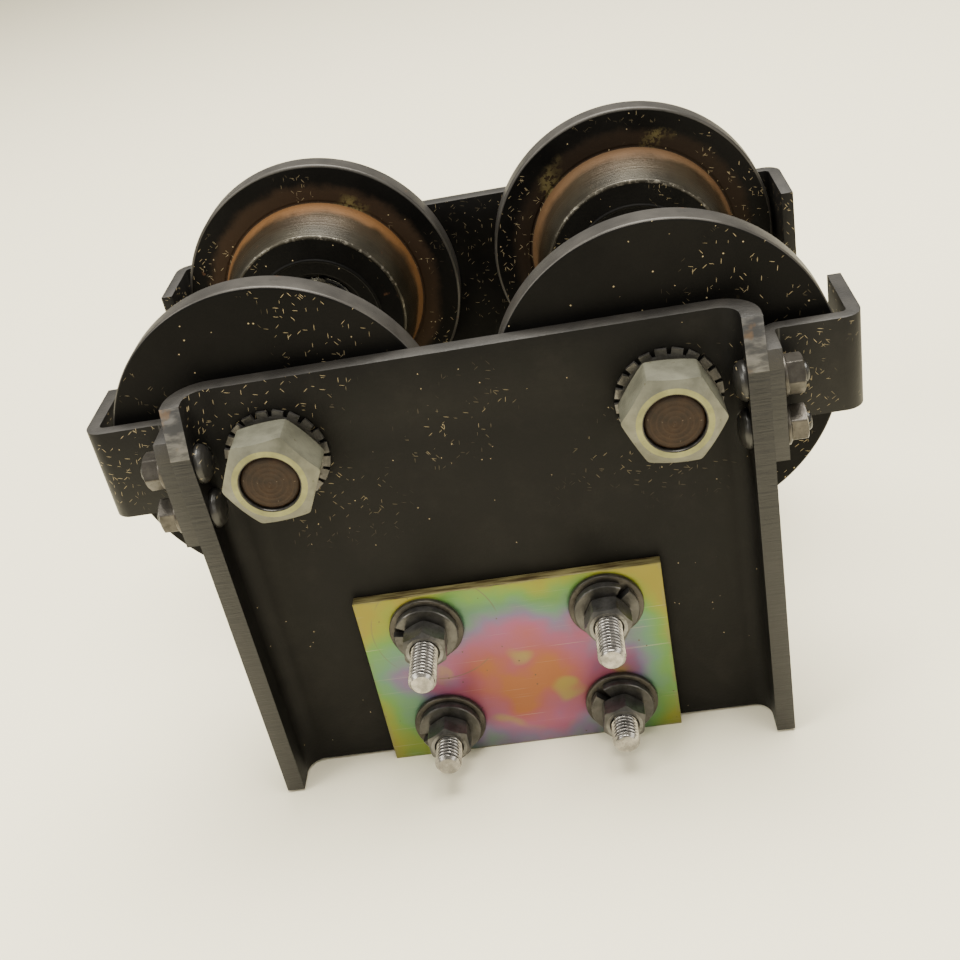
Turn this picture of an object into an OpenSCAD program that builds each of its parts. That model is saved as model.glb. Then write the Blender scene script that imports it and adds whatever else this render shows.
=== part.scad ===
// Four-wheel trolley that carries a heavy sliding door along the lower flange of a track beam.
// X runs along the track, Y across it and Z up. The origin is at the foot of the trolley,
// midway between the side plates and midway between the axles.
// Each half is drawn in its own side frame: Y = 0 is the outer face of the side plate's web,
// +Y points inwards to the other half, and Z = 0 is the height of the axles.

/* [Side plates] */
// Distance between the outer faces of the two webs
plate_span = 146.5; // [130:0.5:180]
// Length of a side plate along the track
plate_length = 186; // [184:0.5:190]
// Thickness of the plate material
sheet = 6.35; // [5:0.05:6.4]
// Top edge of the plates above the axles
plate_top = 27.4; // [22:0.1:34]
// Bottom edge of the plates below the axles
plate_drop = 132; // [131.5:0.1:132.4]
// How far the end flanges stand out from the web's outer face
flange_depth = 15; // [15:0.1:18]
// Inside radius of the flange bends
bend_radius = 6.35; // [5:0.05:6.35]
// Where the sloping cut at a flange's top corner starts, above the axles
corner_cut_low = 11.4; // [9:0.1:14]
// How far that cut runs back from the flange's edge
corner_cut_back = 5.4; // [3:0.1:7]

/* [Wheels] */
// Distance between the two axles of one side
axle_spacing = 127; // [122:0.5:127]
// Diameter over the wheel flange
wheel_d = 111; // [106:0.5:111]
// Thickness of the wheel flange
wheel_flange = 9.9; // [8:0.1:12]
// Tread diameter beside the flange
tread_big_d = 80.4; // [76:0.2:86]
// Tread diameter at the inner end
tread_small_d = 69.4; // [64:0.2:72]
// Width of the tapered tread
tread_w = 22.7; // [20:0.1:26]
// Gap between the web and the back of a wheel
wheel_gap = 1.65; // [1:0.05:3]

/* [Axles and bearings] */
// Axle diameter
axle_d = 19.05; // [18:0.05:19.05]
// Bearing outside diameter
bearing_d = 47; // [45:0.5:48]
// Bearing width
bearing_w = 14; // [13:0.5:15]
// Depth of the bearing behind the back of the wheel
bearing_depth = 8; // [6:0.5:8]
// Number of balls in a bearing
ball_count = 8; // [6:1:9]
// Axle nut size across its flats
axle_nut_af = 28.6; // [27:0.1:30]
// Axle nut height
axle_nut_h = 16.3; // [12:0.1:18]
// Diameter over the teeth of the lock washer under the axle nut
tooth_washer_d = 35.6; // [32:0.1:37]

/* [Guards] */
// Thickness of the guard strap
guard_sheet = 4.4; // [3:0.1:4.5]
// Distance from the middle of the trolley to a guard's outer face
guard_reach = 124.8; // [124.8:0.1:130]
// Top edge of a guard above the axles
guard_top = 17.3; // [15:0.1:20]
// Bottom edge of a guard's strap below the axles
guard_low = 15; // [12:0.1:16]
// Bottom edge of a guard's bolted tab below the axles
tab_low = 20.5; // [20:0.1:24]
// How far a guard's lip reaches inwards beside the wheel
lip_reach = 33.5; // [20:0.5:36]

/* [Hanger pads and tie rods] */
// Width of a hanger pad
pad_w = 106.8; // [100:0.1:110]
// Top edge of a pad below the axles
pad_top = 60.2; // [60:0.1:62]
// Bottom edge of a pad below the axles
pad_drop = 133; // [133:0.1:134]
// Thickness of a pad
pad_t = 4.1; // [3:0.1:6]
// Tie rod diameter
rod_d = 9.525; // [8:0.025:9.525]
// Distance between the rods along the track
rod_pitch_x = 63; // [55:0.5:68]
// Distance between the upper and lower rods
rod_pitch_z = 43.8; // [40:0.2:46]
// How far the upper rods stand out from the web
rod_reach_upper = 34.5; // [30:0.5:40]
// How far the lower rods stand out from the web
rod_reach_lower = 27.5; // [24:0.5:34]

/* [Hidden] */
$fn = 96;
eps = 0.01;
cut = 60; // longer than anything it cuts through

// Side plate
bend_out = bend_radius + sheet;
half_length = plate_length / 2;
flange_in = half_length - sheet;
axle_z = pad_drop; // the pads reach a little lower than the plates and carry the trolley

// Wheel, measured from its back face
back_y = sheet + wheel_gap;
tread_end = wheel_flange + tread_w;
edge_chamfer = 0.8;
hub_bore_r = 19;
bead_r = 25;
bead_w = 1.2;
bead_h = 0.7;
seat_end = bearing_depth + bearing_w;

// Bearing
axle_r = axle_d / 2;
bearing_r = bearing_d / 2;
inner_race_r = 13.8;
outer_race_r = 19.8;
race_mid = (inner_race_r + outer_race_r) / 2;
ball_r = 3.97;
groove_r = 4.03;
running_gap = 0.05;
shield_t = 0.6;
shield_inset = 0.4;
bearing_y = back_y + bearing_depth;
bearing_end = bearing_y + bearing_w;

// Axle
tooth_washer_t = 1.8;
tooth_count = 14;
nut_front = tooth_washer_t + axle_nut_h;
axle_end = nut_front - 0.7;
axle_hole_r = axle_r + 0.1;
collar_r = inner_race_r - 0.6;
ring_t = 1.25;
ring_r = 12.4;
ring_groove_r = axle_r - 0.5;
axle_tail = 1.8; // axle beyond its retaining ring

// Guard
guard_y = 0.6; // the strap's outer face sits this far behind the web's
guard_bend = 2;
tab_out = half_length + guard_sheet;
slope_start = 10; // the slope from tab to strap ends this far outside the tab
guard_bolt_y = -7.7;
guard_bolt_z = [5.5, -11.5];
guard_bolt_r = 3.175;
guard_hole_r = 3.4;
dome_r = 6.5;
dome_h = 4;
dome_seat_gap = 0.2;
seat_depth = 0.3; // the heads' seats are faced this deep into the flange
guard_nut_flange_r = 6.9;
guard_nut_flange_t = 1.6;
guard_nut_af = 11.1;
guard_nut_h = 6.6;
guard_bolt_end = 1.6;

// Hanger pads and tie rods
pad_x = 0.6; // the pads sit a little off centre in their clearance holes
rod_x = 2.2; // and so do the rods
rod_z = -96.1;
rod_r = rod_d / 2;
rod_core_r = rod_r * 0.89; // the threads' pitch radius, inside the nuts and plates
rod_tip = 1.1; // chamfer at the ends
rod_hole_r = rod_r + 0.6;
flat_washer_r = 13;
flat_washer_t = 2;
lock_washer_r = 11.2;
lock_washer_t = 3.4;
lock_gap = 2.6;
lock_gap_angles = [160, 50, 190, 130];
rod_nut_af = 14.3;
rod_nut_h = 8.3;
rod_nut_turns = [25, 3, 32, 20];
sleeve_r = 8.55;
sleeve_bore_r = 6.25;
stack_flat = pad_t + flat_washer_t;
stack_lock = stack_flat + lock_washer_t;
stack_nut = stack_lock + rod_nut_h;

// Places of the four rods: upper left, upper right, lower left, lower right
rod_places = [for (up = [1, -1], side = [-1, 1])
    [rod_x + side * rod_pitch_x / 2, rod_z + up * rod_pitch_z / 2]];
rod_reaches = [rod_reach_upper, rod_reach_upper, rod_reach_lower, rod_reach_lower];

black_steel = [0.13, 0.13, 0.13];
machined_steel = [0.55, 0.54, 0.52];
zinc = [0.68, 0.69, 0.66];
rusty_steel = [0.40, 0.28, 0.20];
yellow_zinc = [0.66, 0.66, 0.42];
bearing_steel = [0.62, 0.62, 0.63];

// ---- Placing ----

// A half of the trolley, from its side frame
module front() translate([0, -plate_span / 2, axle_z]) children();
module rear() mirror([0, 1, 0]) front() children();

// An axle's place in the side frame: side is -1 for left and 1 for right
module on_axle(side) translate([side * axle_spacing / 2, 0, 0]) children();

// Turns a shape drawn along +Z so that it runs along +Y from the plane at y
module along_y(y = 0) translate([0, y, 0]) rotate([-90, 0, 0]) children();

// Each rod's place, with $i numbering the rods
module each_rod() for ($i = [0 : 3]) translate([rod_places[$i].x, 0, rod_places[$i].y]) children();

// Each guard bolt's place on one half, drawn along +X from the flange's outer face
module each_guard_bolt() {
    for (side = [-1, 1], z = guard_bolt_z)
        scale_x(side) translate([half_length, guard_bolt_y, z]) rotate([0, 90, 0]) children();
}

// Mirrors its children to the left for side = -1
module scale_x(side) mirror([side < 0 ? 1 : 0, 0, 0]) children();

// ---- Shared shapes ----

module disc(r, h) cylinder(r = r, h = h);

module ring(r_out, r_in, h) {
    difference() {
        disc(r_out, h);
        translate([0, 0, -eps]) disc(r_in, h + 2 * eps);
    }
}

// A chamfered hexagon nut standing on Z = 0, with a countersunk bore
module hex_nut(af, h, bore_r, sink) {
    corner_r = af / 2 / cos(30);
    slope_h = (corner_r - af / 2) * 0.62;
    difference() {
        intersection() {
            cylinder(r = corner_r, h = h, $fn = 6);
            rotate_extrude() polygon([[0, 0], [af / 2, 0], [corner_r, slope_h],
                [corner_r, h - slope_h], [af / 2, h], [0, h]]);
        }
        translate([0, 0, -eps]) disc(bore_r, h + 2 * eps);
        translate([0, 0, h - sink]) cylinder(r1 = bore_r, r2 = bore_r + sink, h = sink + eps);
    }
}

// A quarter of a bend in plan, from +X round to +Y, centred on the origin
module quarter_bend(r_in, r_out) {
    intersection() {
        difference() {
            circle(r_out);
            circle(r_in);
        }
        square(r_out + 1);
    }
}

// ---- Side plates ----

// A channel's outline in plan, open towards -Y, with rounded corners at its closed side
module channel_outline(half_w, front_y, back_y, corner_r) {
    intersection() {
        translate([-half_w, front_y]) square([2 * half_w, back_y - front_y]);
        union() {
            translate([-half_w, front_y - 1]) square([2 * half_w, back_y - corner_r - front_y + 1]);
            translate([corner_r - half_w, front_y - 1])
                square([2 * (half_w - corner_r), back_y - front_y + 2]);
            for (side = [-1, 1])
                translate([side * (half_w - corner_r), back_y - corner_r]) circle(corner_r);
        }
    }
}

module plate_section() {
    difference() {
        channel_outline(half_length, -flange_depth, sheet, bend_out);
        channel_outline(flange_in, -flange_depth - 1, 0, bend_radius);
    }
}

// The space in front of the sloping cut at the top of a flange and of the tab bolted to it
module corner_cut() {
    translate([-plate_length, 0, 0]) rotate([90, 0, 90]) linear_extrude(2 * plate_length)
        polygon([[-flange_depth, corner_cut_low], [corner_cut_back - flange_depth, plate_top],
            [corner_cut_back - flange_depth, plate_top + 1], [-flange_depth - 1, plate_top + 1],
            [-flange_depth - 1, corner_cut_low]]);
}

module side_plate() {
    color(black_steel) difference() {
        translate([0, 0, -plate_drop]) linear_extrude(plate_drop + plate_top) plate_section();
        corner_cut();
        for (side = [-1, 1]) on_axle(side) along_y(-eps) disc(axle_hole_r, sheet + 1);
        each_rod() along_y(-eps) disc(rod_hole_r, sheet + 1);
        each_guard_bolt() translate([0, 0, -sheet - eps]) disc(guard_hole_r, sheet + 1);
        each_guard_bolt() translate([0, 0, seat_depth - sheet - dome_h - 1])
            disc(dome_r + dome_seat_gap, dome_h + 1);
    }
}

// ---- Guards ----

// The strap in plan: tab, bend, outward strap, bend and inward lip
module guard_section() {
    corner_x = tab_out + guard_bend;
    lip_corner_x = guard_reach - guard_sheet - guard_bend;
    strap_back = guard_y + guard_sheet;
    translate([half_length, -flange_depth])
        square([guard_sheet, flange_depth + guard_y - guard_bend + eps]);
    translate([corner_x, guard_y - guard_bend]) mirror([1, 0])
        quarter_bend(guard_bend, guard_bend + guard_sheet);
    translate([corner_x - eps, guard_y]) square([lip_corner_x - corner_x + 2 * eps, guard_sheet]);
    translate([lip_corner_x, strap_back + guard_bend]) mirror([0, 1])
        quarter_bend(guard_bend, guard_bend + guard_sheet);
    translate([guard_reach - guard_sheet, strap_back + guard_bend - eps])
        square([guard_sheet, lip_reach - strap_back - guard_bend]);
}

// What is cut away under the strap, with the slope up from the tab
module guard_relief() {
    translate([0, cut, 0]) rotate([90, 0, 0]) linear_extrude(2 * cut)
        polygon([[tab_out + guard_bend, -tab_low - 1], [tab_out + guard_bend, -tab_low],
            [tab_out + slope_start, -guard_low], [guard_reach + 1, -guard_low],
            [guard_reach + 1, -tab_low - 1]]);
}

module guard(side) {
    color(black_steel) scale_x(side) difference() {
        translate([0, 0, -tab_low]) linear_extrude(guard_top + tab_low) guard_section();
        guard_relief();
        corner_cut();
        for (z = guard_bolt_z) translate([half_length - 1, guard_bolt_y, z]) rotate([0, 90, 0])
            disc(guard_hole_r, guard_sheet + 2);
    }
}

// Round-headed bolts, heads inside the channel
module guard_bolts() {
    dome_sphere = (dome_r * dome_r + dome_h * dome_h) / (2 * dome_h);
    stack = guard_sheet + guard_nut_h + guard_bolt_end;
    seat_z = seat_depth - sheet;
    color(black_steel) each_guard_bolt() {
        translate([0, 0, seat_z]) disc(guard_bolt_r, stack - seat_z);
        intersection() {
            translate([0, 0, seat_z + dome_sphere - dome_h]) sphere(dome_sphere);
            translate([0, 0, seat_z - dome_h - 1]) disc(dome_r, dome_h + 1);
        }
    }
}

// Flanged hexagon nuts on the outside of the guard tabs
module guard_nuts() {
    color(machined_steel) each_guard_bolt() translate([0, 0, guard_sheet]) difference() {
        union() {
            disc(guard_nut_flange_r, guard_nut_flange_t);
            hex_nut(guard_nut_af, guard_nut_h, guard_bolt_r, 0.4);
        }
        translate([0, 0, -eps]) disc(guard_bolt_r, guard_nut_h + 1);
    }
}

// ---- Hanger pads and tie rods ----

module pad_plate() {
    color(yellow_zinc) difference() {
        translate([pad_x - pad_w / 2, -pad_t, -pad_drop]) cube([pad_w, pad_t, pad_drop - pad_top]);
        each_rod() along_y(-pad_t - 1) disc(rod_hole_r, pad_t + 2);
    }
}

// Rods that run through both halves, full-size only where they stand out of their nuts
module tie_rods() {
    color(zinc) each_rod() {
        reach = rod_reaches[$i];
        free = reach - stack_nut;
        total = plate_span + 2 * reach;
        along_y(-reach) rotate_extrude() polygon([
            [0, 0], [rod_r - rod_tip, 0], [rod_r, rod_tip], [rod_r, free], [rod_core_r, free],
            [rod_core_r, total - free], [rod_r, total - free], [rod_r, total - rod_tip],
            [rod_r - rod_tip, total], [0, total]]);
    }
}

// Sleeves that hold the two webs apart
module spacer_sleeves() {
    color(black_steel) each_rod() along_y(sheet)
        ring(sleeve_r, sleeve_bore_r, plate_span - 2 * sheet);
}

module flat_washers() {
    color(machined_steel) each_rod() along_y(-stack_flat)
        ring(flat_washer_r, rod_hole_r, flat_washer_t);
}

module lock_washers() {
    color(machined_steel) each_rod() difference() {
        along_y(-stack_lock) ring(lock_washer_r, rod_hole_r, lock_washer_t);
        rotate([0, -lock_gap_angles[$i], 0])
            translate([0, -stack_lock - 1, -lock_gap / 2]) cube([cut, lock_washer_t + 2, lock_gap]);
    }
}

module rod_nuts() {
    color(zinc) each_rod() translate([0, -stack_lock, 0]) rotate([90, rod_nut_turns[$i], 0])
        hex_nut(rod_nut_af, rod_nut_h, rod_core_r, 0.7);
}

// ---- Wheels and bearings ----

// Flange, tapered tread and bored hub, turned about the axle
module wheel() {
    big_r = tread_big_d / 2;
    small_r = tread_small_d / 2;
    flange_r = wheel_d / 2;
    color(machined_steel) along_y(back_y) rotate_extrude($fn = 180) polygon([
        [bearing_r, 0], [flange_r - edge_chamfer, 0], [flange_r, edge_chamfer],
        [flange_r, wheel_flange - edge_chamfer], [flange_r - edge_chamfer, wheel_flange],
        [big_r, wheel_flange], [small_r, tread_end - edge_chamfer],
        [small_r - edge_chamfer, tread_end], [bead_r + bead_w / 2, tread_end],
        [bead_r + bead_w / 2, tread_end + bead_h], [bead_r - bead_w / 2, tread_end + bead_h],
        [bead_r - bead_w / 2, tread_end], [hub_bore_r + edge_chamfer, tread_end],
        [hub_bore_r, tread_end - edge_chamfer], [hub_bore_r, seat_end], [bearing_r, seat_end]]);
}

// A bearing race between two radii, with the balls' groove in it
module race(r_in, r_out) {
    color(bearing_steel) along_y(bearing_y) rotate_extrude() difference() {
        translate([r_in, 0]) square([r_out - r_in, bearing_w]);
        translate([race_mid, bearing_w / 2]) circle(groove_r);
    }
}

module bearing_outer() race(outer_race_r, bearing_r);

module bearing_inner() race(axle_r, inner_race_r);

module bearing_balls() {
    color(bearing_steel) along_y(bearing_y + bearing_w / 2)
        for (i = [0 : ball_count - 1]) rotate(i * 360 / ball_count)
            translate([race_mid, 0, 0]) sphere(ball_r);
}

// The thin shields at both ends of a bearing, held by the outer race
module bearing_shields() {
    color(black_steel) for (y = [shield_inset, bearing_w - shield_inset - shield_t])
        along_y(bearing_y + y) ring(outer_race_r, inner_race_r + running_gap, shield_t);
}

// ---- Axles ----

// Threaded nose, journal through the web, collar, bearing seat and ring groove
module axle() {
    nose = 1.4;
    color(rusty_steel) along_y() rotate_extrude() polygon([
        [0, -axle_end], [axle_r - nose, -axle_end], [axle_r, nose - axle_end], [axle_r, sheet],
        [collar_r, sheet], [collar_r, bearing_y], [axle_r, bearing_y], [axle_r, bearing_end],
        [ring_groove_r, bearing_end], [ring_groove_r, bearing_end + ring_t],
        [axle_r, bearing_end + ring_t], [axle_r, bearing_end + ring_t + axle_tail],
        [0, bearing_end + ring_t + axle_tail]]);
}

module axle_nut(turn) {
    color(zinc) translate([0, -tooth_washer_t, 0]) rotate([90, -turn, 0])
        hex_nut(axle_nut_af, axle_nut_h, axle_r, 0.9);
}

// Lock washer with a crown of outside teeth
module tooth_washer() {
    body_r = 14;
    gap_w = 2.6;
    color(machined_steel) along_y(-tooth_washer_t) difference() {
        ring(tooth_washer_d / 2, axle_r, tooth_washer_t);
        for (i = [0 : tooth_count - 1]) rotate(i * 360 / tooth_count)
            translate([body_r, -gap_w / 2, -1]) cube([cut, gap_w, tooth_washer_t + 2]);
    }
}

// Snap ring in the axle's groove, open at the top between two small ears
module retaining_ring() {
    ear_r = 1.6;
    gap = 3;
    color(bearing_steel) along_y(bearing_end) difference() {
        union() {
            disc(ring_r, ring_t);
            for (side = [-1, 1]) rotate(side * 14) translate([0, -ring_r, 0]) disc(ear_r, ring_t);
        }
        translate([0, 0, -eps]) disc(ring_groove_r, ring_t + 2 * eps);
        translate([-gap / 2, -cut, -1]) cube([gap, cut, ring_t + 2]);
    }
}

// ---- Nodes ----

front() side_plate();  // front_side_plate
rear() side_plate();  // rear_side_plate

front() guard(-1);  // front_left_guard
front() guard(1);  // front_right_guard
rear() guard(-1);  // rear_left_guard
rear() guard(1);  // rear_right_guard
front() guard_bolts();  // front_guard_bolts
front() guard_nuts();  // front_guard_nuts
rear() guard_bolts();  // rear_guard_bolts
rear() guard_nuts();  // rear_guard_nuts

front() pad_plate();  // front_pad_plate
rear() pad_plate();  // rear_pad_plate
front() tie_rods();
front() spacer_sleeves();
front() flat_washers();  // front_flat_washers
front() lock_washers();  // front_lock_washers
front() rod_nuts();  // front_rod_nuts
rear() flat_washers();  // rear_flat_washers
rear() lock_washers();  // rear_lock_washers
rear() rod_nuts();  // rear_rod_nuts

front() on_axle(-1) wheel();  // front_left_wheel
front() on_axle(-1) bearing_outer();  // front_left_bearing_outer
front() on_axle(-1) bearing_inner();  // front_left_bearing_inner
front() on_axle(-1) bearing_balls();  // front_left_bearing_balls
front() on_axle(-1) bearing_shields();  // front_left_bearing_shields
front() on_axle(-1) retaining_ring();  // front_left_retaining_ring
front() on_axle(-1) axle();  // front_left_axle
front() on_axle(-1) axle_nut(5);  // front_left_axle_nut
front() on_axle(-1) tooth_washer();  // front_left_tooth_washer

front() on_axle(1) wheel();  // front_right_wheel
front() on_axle(1) bearing_outer();  // front_right_bearing_outer
front() on_axle(1) bearing_inner();  // front_right_bearing_inner
front() on_axle(1) bearing_balls();  // front_right_bearing_balls
front() on_axle(1) bearing_shields();  // front_right_bearing_shields
front() on_axle(1) retaining_ring();  // front_right_retaining_ring
front() on_axle(1) axle();  // front_right_axle
front() on_axle(1) axle_nut(-5);  // front_right_axle_nut
front() on_axle(1) tooth_washer();  // front_right_tooth_washer

rear() on_axle(-1) wheel();  // rear_left_wheel
rear() on_axle(-1) bearing_outer();  // rear_left_bearing_outer
rear() on_axle(-1) bearing_inner();  // rear_left_bearing_inner
rear() on_axle(-1) bearing_balls();  // rear_left_bearing_balls
rear() on_axle(-1) bearing_shields();  // rear_left_bearing_shields
rear() on_axle(-1) retaining_ring();  // rear_left_retaining_ring
rear() on_axle(-1) axle();  // rear_left_axle
rear() on_axle(-1) axle_nut(12);  // rear_left_axle_nut
rear() on_axle(-1) tooth_washer();  // rear_left_tooth_washer

rear() on_axle(1) wheel();  // rear_right_wheel
rear() on_axle(1) bearing_outer();  // rear_right_bearing_outer
rear() on_axle(1) bearing_inner();  // rear_right_bearing_inner
rear() on_axle(1) bearing_balls();  // rear_right_bearing_balls
rear() on_axle(1) bearing_shields();  // rear_right_bearing_shields
rear() on_axle(1) retaining_ring();  // rear_right_retaining_ring
rear() on_axle(1) axle();  // rear_right_axle
rear() on_axle(1) axle_nut(-20);  // rear_right_axle_nut
rear() on_axle(1) tooth_washer();  // rear_right_tooth_washer
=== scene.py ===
"""A four-wheel trolley for a heavy sliding door, stood on its lower edges with the wheels up.

Lengths are in metres, in the CAD model's frame: X along the track, Y across it, Z up.
Small pieces are drawn in a side frame of their own half, with +Y pointing inwards."""
import math

import bmesh
import bpy
from mathutils import Matrix, Vector


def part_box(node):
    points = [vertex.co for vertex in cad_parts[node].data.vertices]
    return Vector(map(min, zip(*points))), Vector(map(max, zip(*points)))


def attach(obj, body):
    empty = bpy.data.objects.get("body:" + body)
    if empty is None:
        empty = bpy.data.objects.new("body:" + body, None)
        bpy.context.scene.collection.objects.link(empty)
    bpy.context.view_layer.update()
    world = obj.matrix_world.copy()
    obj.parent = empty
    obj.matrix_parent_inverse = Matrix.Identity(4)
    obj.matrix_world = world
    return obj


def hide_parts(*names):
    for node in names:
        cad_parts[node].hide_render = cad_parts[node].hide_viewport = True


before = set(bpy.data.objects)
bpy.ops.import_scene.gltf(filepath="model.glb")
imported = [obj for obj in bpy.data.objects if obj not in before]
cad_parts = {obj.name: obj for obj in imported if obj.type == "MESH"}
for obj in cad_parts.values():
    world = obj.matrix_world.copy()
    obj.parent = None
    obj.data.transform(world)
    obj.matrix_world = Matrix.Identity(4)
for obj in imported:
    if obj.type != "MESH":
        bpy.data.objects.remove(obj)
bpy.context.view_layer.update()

MM = 0.001
# The CAD rods' radius: each rod's middle lies this far inside the rods' common box.
ROD_R = 4.7625 * MM
# Which way each half faces along Y, away from the track.
ENDS = {"front": -1, "rear": 1}
SIDES = ("left", "right")
CORNERS = [(end, side) for end in ENDS for side in SIDES]


def centre(node):
    low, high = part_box(node)
    return (low + high) / 2


def outer_y(node, end):
    """The Y of a node's outermost face, where its side frame starts."""
    low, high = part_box(node)
    return low.y if ENDS[end] < 0 else high.y


def inner_y(node, end):
    """The Y of a node's innermost face."""
    low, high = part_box(node)
    return high.y if ENDS[end] < 0 else low.y


def rod_places():
    """The (x, z) of the four rods: the upper left and right ones, and then the lower two."""
    low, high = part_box("tie_rods")
    left, right = low.x + ROD_R, high.x - ROD_R
    top, bottom = high.z - ROD_R, low.z + ROD_R
    return [(left, top), (right, top), (left, bottom), (right, bottom)]


# ---- Materials ----

class Paint:
    """A short way to wire a Principled material from nodes."""

    def __init__(self, name):
        self.material = bpy.data.materials.new(name)
        self.material.use_nodes = True
        self.tree = self.material.node_tree
        self.shader = self.tree.nodes["Principled BSDF"]
        self.place = self.tree.nodes.new("ShaderNodeTexCoord").outputs["Object"]

    def put(self, socket, value):
        """Links a node's output to a socket, or sets a plain value on it."""
        if isinstance(value, bpy.types.NodeSocket):
            self.tree.links.new(value, socket)
        else:
            socket.default_value = value

    def math(self, operation, a, b=0.0, clamp=False):
        node = self.tree.nodes.new("ShaderNodeMath")
        node.operation = operation
        node.use_clamp = clamp
        self.put(node.inputs[0], a)
        self.put(node.inputs[1], b)
        return node.outputs[0]

    def step(self, value, low, high, top=1.0):
        """0 below low, top above high, and smooth between."""
        node = self.tree.nodes.new("ShaderNodeMapRange")
        node.interpolation_type = "SMOOTHSTEP"
        for socket, given in zip(node.inputs, (value, low, high, 0.0, top)):
            self.put(socket, given)
        return node.outputs[0]

    def moved(self, scale=(1, 1, 1), shift=(0, 0, 0), turn=(0, 0, 0)):
        """The object's own coordinates, shifted, turned and scaled."""
        node = self.tree.nodes.new("ShaderNodeMapping")
        self.put(node.inputs["Vector"], self.place)
        self.put(node.inputs["Scale"], scale)
        self.put(node.inputs["Location"], shift)
        self.put(node.inputs["Rotation"], turn)
        return node.outputs[0]

    def stretched(self, size, shift, turn):
        """The object's own coordinates for a pattern that is stretched first and then turned."""
        node = self.tree.nodes.new("ShaderNodeMapping")
        node.vector_type = "TEXTURE"
        self.put(node.inputs["Vector"], self.place)
        self.put(node.inputs["Scale"], size)
        self.put(node.inputs["Location"], shift)
        self.put(node.inputs["Rotation"], turn)
        return node.outputs[0]

    def axes(self):
        """The X, Y and Z of the object's own coordinates."""
        node = self.tree.nodes.new("ShaderNodeSeparateXYZ")
        self.put(node.inputs[0], self.place)
        return node.outputs[0], node.outputs[1], node.outputs[2]

    def radius(self, x=0.0, z=0.0):
        """Distance from the line along Y through (x, z)."""
        across, _, up = self.axes()
        dx = self.math("SUBTRACT", across, x)
        dz = self.math("SUBTRACT", up, z)
        squares = self.math("ADD", self.math("MULTIPLY", dx, dx), self.math("MULTIPLY", dz, dz))
        return self.math("SQRT", squares)

    def cloud(self, scale, detail=4.0, rough=0.55, vector=None, distortion=0.0):
        node = self.tree.nodes.new("ShaderNodeTexNoise")
        self.put(node.inputs["Vector"], vector or self.place)
        self.put(node.inputs["Scale"], scale)
        self.put(node.inputs["Detail"], detail)
        self.put(node.inputs["Roughness"], rough)
        self.put(node.inputs["Distortion"], distortion)
        return node.outputs["Fac"]

    def cells(self, scale, vector=None):
        """Distance to the nearest cell's middle, and a random number for each cell."""
        node = self.tree.nodes.new("ShaderNodeTexVoronoi")
        self.put(node.inputs["Vector"], vector or self.place)
        self.put(node.inputs["Scale"], scale)
        split = self.tree.nodes.new("ShaderNodeSeparateColor")
        self.put(split.inputs[0], node.outputs["Color"])
        return node.outputs["Distance"], split.outputs[0]

    def mix(self, factor, first, second, blend="MIX"):
        node = self.tree.nodes.new("ShaderNodeMix")
        node.data_type = "RGBA"
        node.blend_type = blend
        self.put(node.inputs[0], factor)
        self.put(node.inputs[6], first)
        self.put(node.inputs[7], second)
        return node.outputs[2]

    def ramp(self, factor, *stops):
        """A colour ramp from (position, colour) stops."""
        node = self.tree.nodes.new("ShaderNodeValToRGB")
        points = node.color_ramp.elements
        while len(points) < len(stops):
            points.new(0.5)
        for point, (position, colour) in zip(points, stops):
            point.position = position
            point.color = colour
        self.put(node.inputs[0], factor)
        return node.outputs[0]

    def fibres(self, length, width, share, turns=(0.25, 0.95, 1.7, 2.5)):
        """A mask of sparse short fibres lying in a few directions across the XZ plane."""
        total = 0.0
        for turn in turns:
            bent = self.stretched((length, length, width), (turn, 0, turn), (0, turn, 0))
            distance, chance = self.cells(0.33, bent)
            mark = self.math("LESS_THAN", distance, 0.30)
            chosen = self.math("LESS_THAN", chance, share)
            total = self.math("ADD", total, self.math("MULTIPLY", mark, chosen), clamp=True)
        return total

    def bump(self, height, strength, distance):
        node = self.tree.nodes.new("ShaderNodeBump")
        self.put(node.inputs["Height"], height)
        self.put(node.inputs["Strength"], strength)
        self.put(node.inputs["Distance"], distance)
        self.put(self.shader.inputs["Normal"], node.outputs[0])

    def finish(self, colour, roughness, metallic=0.0, specular=0.5):
        self.put(self.shader.inputs["Base Color"], colour)
        self.put(self.shader.inputs["Roughness"], roughness)
        self.put(self.shader.inputs["Metallic"], metallic)
        self.shader.inputs["Specular IOR Level"].default_value = specular
        return self.material


def grey(value, warm=1.0):
    """A nearly neutral colour, a little warmer for warm above 1."""
    return (value * warm, value, value / warm ** 1.5, 1.0)


STRAW = (0.42, 0.34, 0.20, 1.0)
RUST = (0.235, 0.095, 0.028, 1.0)
BROWN_RUST = (0.085, 0.042, 0.022, 1.0)
OIL = (0.012, 0.011, 0.009, 1.0)
FIBRE_LENGTH, FIBRE_WIDTH = 0.0010, 0.00008


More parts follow.
